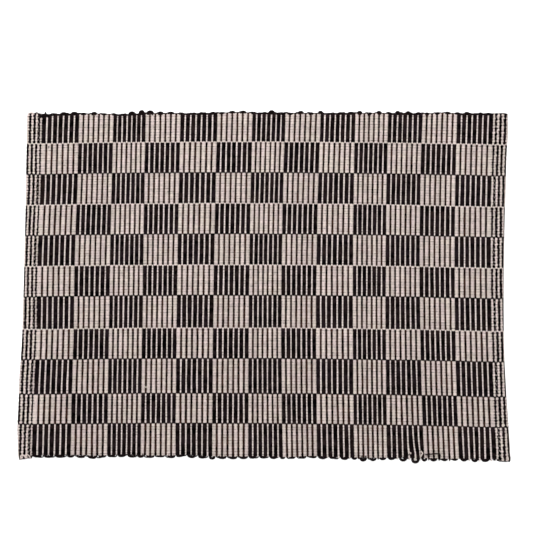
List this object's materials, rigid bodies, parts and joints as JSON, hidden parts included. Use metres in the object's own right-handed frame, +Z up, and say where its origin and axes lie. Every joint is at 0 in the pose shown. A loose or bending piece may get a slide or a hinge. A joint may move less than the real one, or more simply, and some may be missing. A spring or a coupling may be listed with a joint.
{
  "type": "fabric placemat",
  "caption": "Flat ribbed cotton table mat in a black and natural checked weave, with hemmed short ends.",
  "frame": {"origin": "centre of the mat's box, on its underside", "axes": "+X along the mat's length, from hem to hem; +Y across it, along the ribs; +Z up, out of the face that shows"},
  "size_m": [0.4708, 0.3352, 0.003],
  "materials": {
    "cotton": "matt ribbed cotton weave, black and natural yarn in blocks"
  },
  "bodies": {
    "root": {"mat_cloth": "cotton"}
  },
  "joints": []
}
